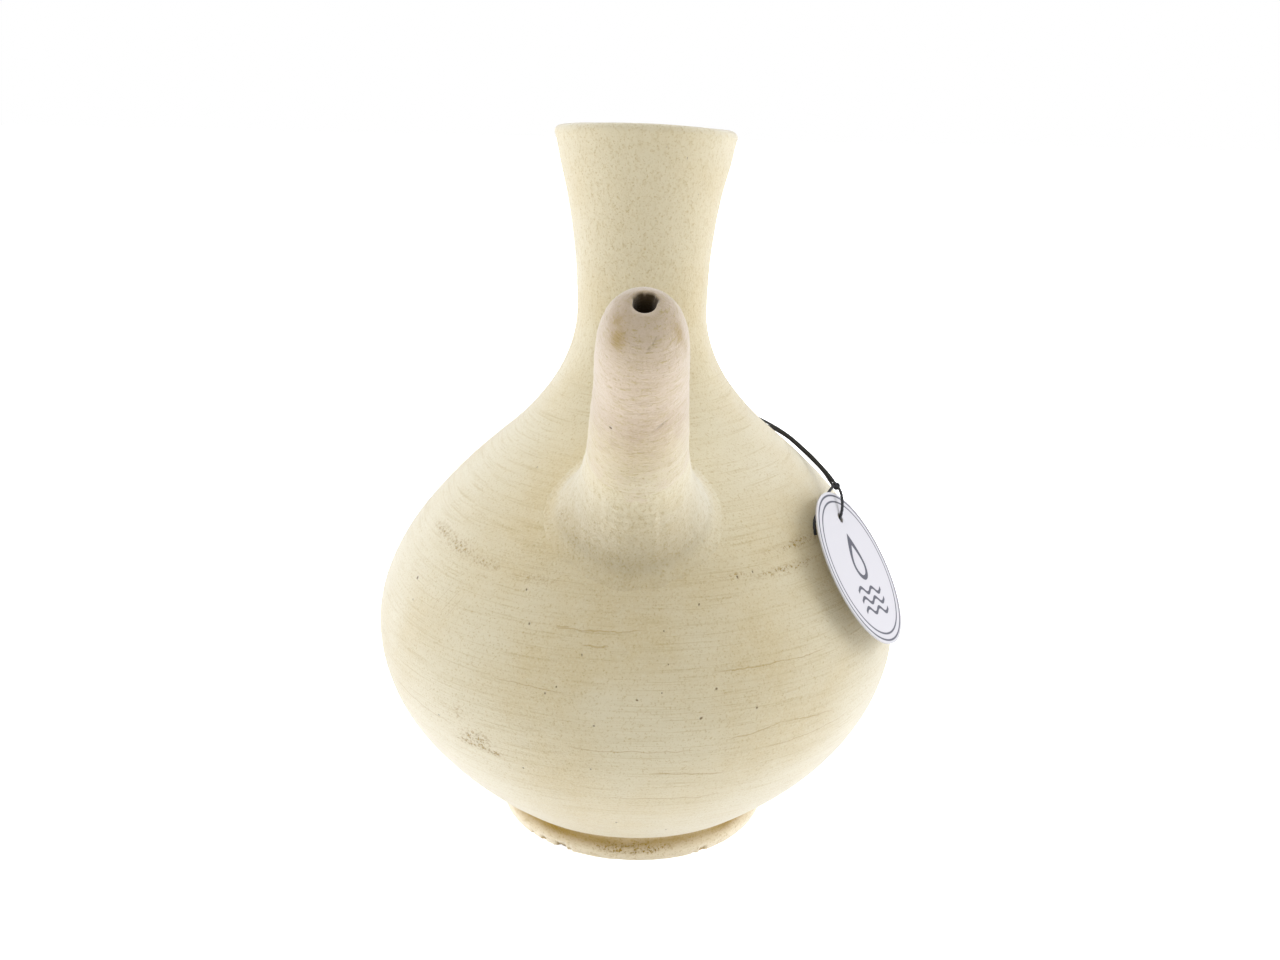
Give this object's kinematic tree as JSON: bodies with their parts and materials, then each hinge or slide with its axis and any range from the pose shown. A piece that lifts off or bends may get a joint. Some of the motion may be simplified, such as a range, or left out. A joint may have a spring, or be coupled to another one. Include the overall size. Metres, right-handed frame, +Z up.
{
  "type": "spanish botijo",
  "caption": "Unglazed round-bellied water jug with a flared neck, a domed drinking spout, a strap handle at the back and a round card that swings on a black cord.",
  "frame": {"origin": "centre of the standing face, on the pot's own axis", "axes": "+Z up along the pot's axis, -Y towards the spout, +Y towards the handle, +X towards the side where the card hangs"},
  "size_m": [0.21, 0.2355, 0.28],
  "materials": {
    "buff_clay": "unglazed buff earthenware, thrown and scraped, dry and matt",
    "pink_clay": "unglazed pinkish-beige earthenware, thrown, dry and matt",
    "ochre_clay": "unglazed ochre-stained earthenware, turned, rough",
    "white_card": "smooth white tag card with two thin printed grey rings",
    "black_cord": "thin waxed black cotton cord"
  },
  "bodies": {
    "vessel": {"foot": "ochre_clay", "lower_body": "buff_clay", "shoulder": "buff_clay", "neck": "buff_clay", "spout": "pink_clay", "spout_collar": "buff_clay", "handle": "buff_clay", "tag_cord": "black_cord"},
    "tag": {"tag_knot": "black_cord", "front_strand": "black_cord", "tail_strand": "black_cord", "tie_knot": "black_cord", "hang_tag": "white_card"}
  },
  "joints": [
    {"name": "tag_swing", "type": "hinge", "parent": "vessel", "child": "tag", "pos_m": [0.077, -0.018, 0.1463], "axis": [-0.342, -0.9397, 0], "range_deg": [0, 120]}
  ]
}
